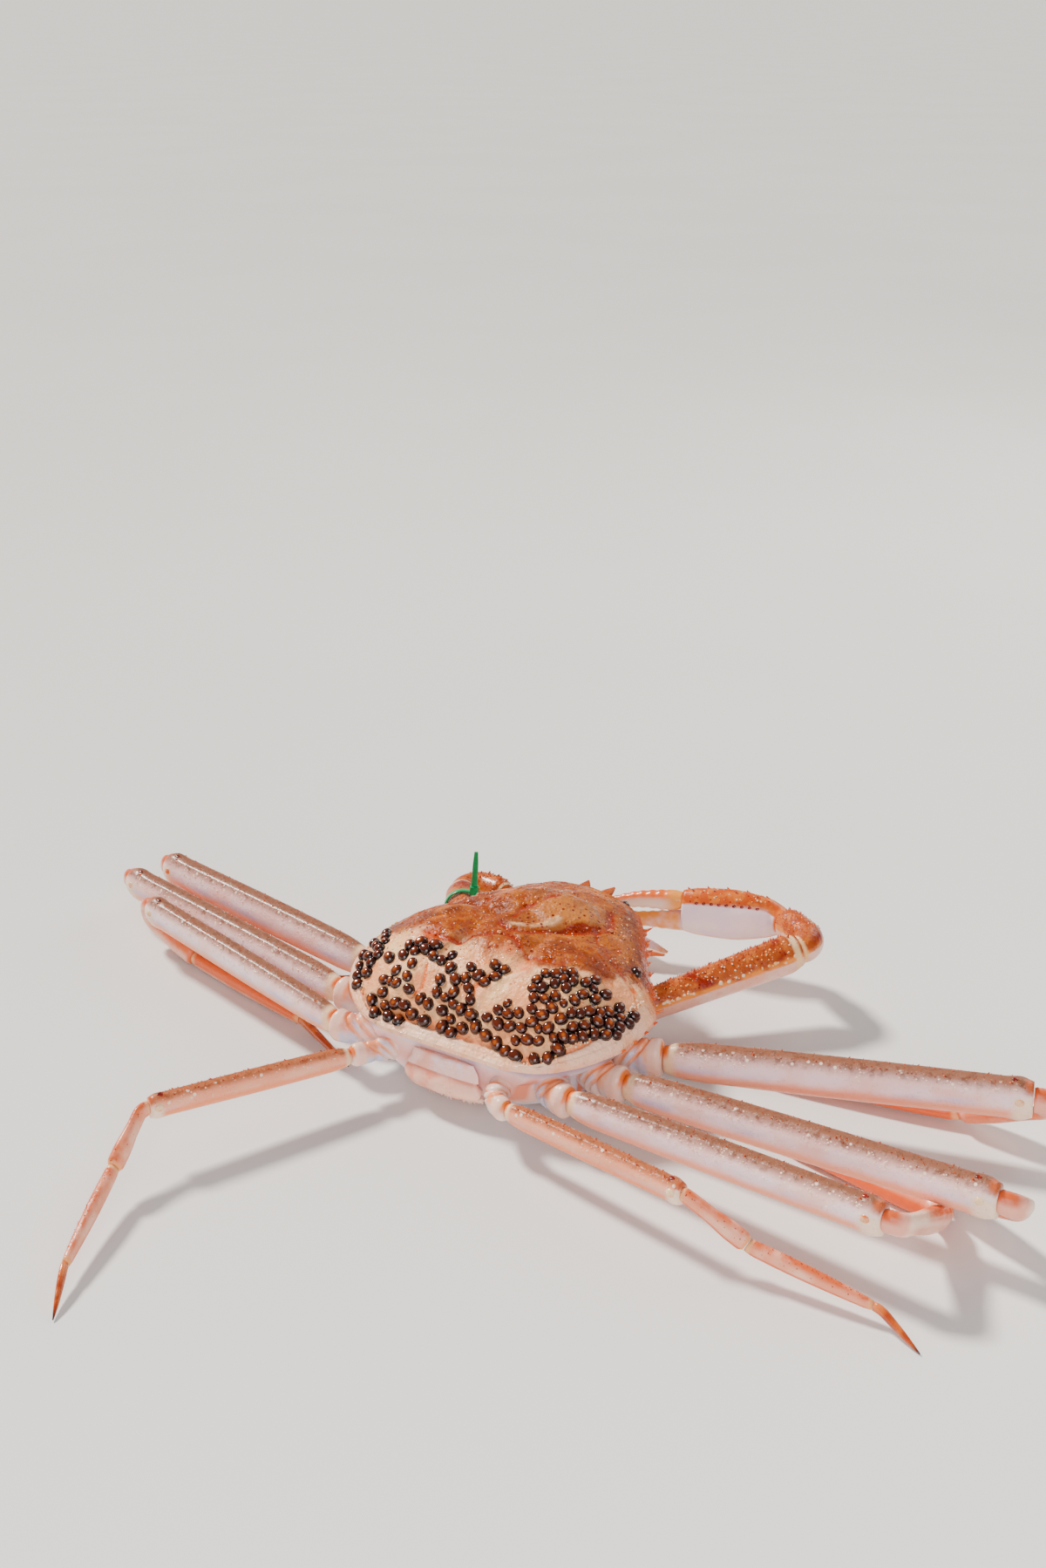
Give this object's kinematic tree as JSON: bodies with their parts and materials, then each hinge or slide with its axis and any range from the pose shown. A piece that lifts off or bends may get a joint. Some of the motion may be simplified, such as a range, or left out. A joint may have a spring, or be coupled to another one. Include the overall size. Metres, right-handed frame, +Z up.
{
  "type": "snow crab",
  "caption": "Snow crab lying on its belly, long flat legs spread and folded under, right claw arched forward, leech cocoons on the back, plastic strap on the left claw.",
  "frame": {"origin": "middle of the whole model's footprint, on the floor", "axes": "+X towards the crab's right side, +Y towards its head, +Z up"},
  "size_m": [0.3936, 0.299, 0.0524],
  "materials": {
    "shell": "damp shell, satin with a fine grain",
    "body_wall": "pearly shell, satin",
    "abdomen": "pearly shell, satin",
    "eye": "wet gloss",
    "mouthpart": "satin shell",
    "coxa": "pearly shell, satin",
    "leg_merus": "satin shell",
    "leg_carpus": "satin shell",
    "leg_propodus": "satin shell",
    "leg_dactyl": "horny, glossy",
    "claw_arm": "granular shell, satin",
    "claw_palm": "granular shell, satin",
    "claw_finger": "smooth shell, satin",
    "tag": "thin flexible plastic"
  },
  "bodies": {
    "root": {"carapace": "shell", "underside": "body_wall", "abdomen": "abdomen", "eye_left": "eye", "eye_right": "eye", "antenna_left": "shell", "antenna_right": "shell", "maxilliped_left": "mouthpart", "maxilliped_right": "mouthpart", "tag_strap": "tag", "leg_left_1_coxa": "coxa", "leg_left_1_merus": "leg_merus", "leg_left_1_carpus": "leg_carpus", "leg_left_1_propodus": "leg_propodus", "leg_left_1_dactyl": "leg_dactyl", "leg_left_2_coxa": "coxa", "leg_left_2_merus": "leg_merus", "leg_left_2_carpus": "leg_carpus", "leg_left_2_propodus": "leg_propodus", "leg_left_2_dactyl": "leg_dactyl", "leg_left_3_coxa": "coxa", "leg_left_3_merus": "leg_merus", "leg_left_3_carpus": "leg_carpus", "leg_left_3_propodus": "leg_propodus", "leg_left_3_dactyl": "leg_dactyl", "leg_left_4_coxa": "coxa", "leg_left_4_merus": "leg_merus", "leg_left_4_carpus": "leg_carpus", "leg_left_4_propodus": "leg_propodus", "leg_left_4_dactyl": "leg_dactyl", "leg_right_1_coxa": "coxa", "leg_right_1_merus": "leg_merus", "leg_right_1_carpus": "leg_carpus", "leg_right_1_propodus": "leg_propodus", "leg_right_1_dactyl": "leg_dactyl", "leg_right_2_coxa": "coxa", "leg_right_2_merus": "leg_merus", "leg_right_2_carpus": "leg_carpus", "leg_right_2_propodus": "leg_propodus", "leg_right_2_dactyl": "leg_dactyl", "leg_right_3_coxa": "coxa", "leg_right_3_merus": "leg_merus", "leg_right_3_carpus": "leg_carpus", "leg_right_3_propodus": "leg_propodus", "leg_right_3_dactyl": "leg_dactyl", "leg_right_4_coxa": "coxa", "leg_right_4_merus": "leg_merus", "leg_right_4_carpus": "leg_carpus", "leg_right_4_propodus": "leg_propodus", "leg_right_4_dactyl": "leg_dactyl", "claw_left_coxa": "coxa", "claw_left_merus": "claw_arm", "claw_left_carpus": "claw_arm", "claw_left_palm": "claw_palm", "claw_left_dactyl": "claw_finger", "claw_right_coxa": "coxa", "claw_right_merus": "claw_arm", "claw_right_carpus": "claw_arm", "claw_right_palm": "claw_palm", "claw_right_dactyl": "claw_finger"}
  },
  "joints": []
}
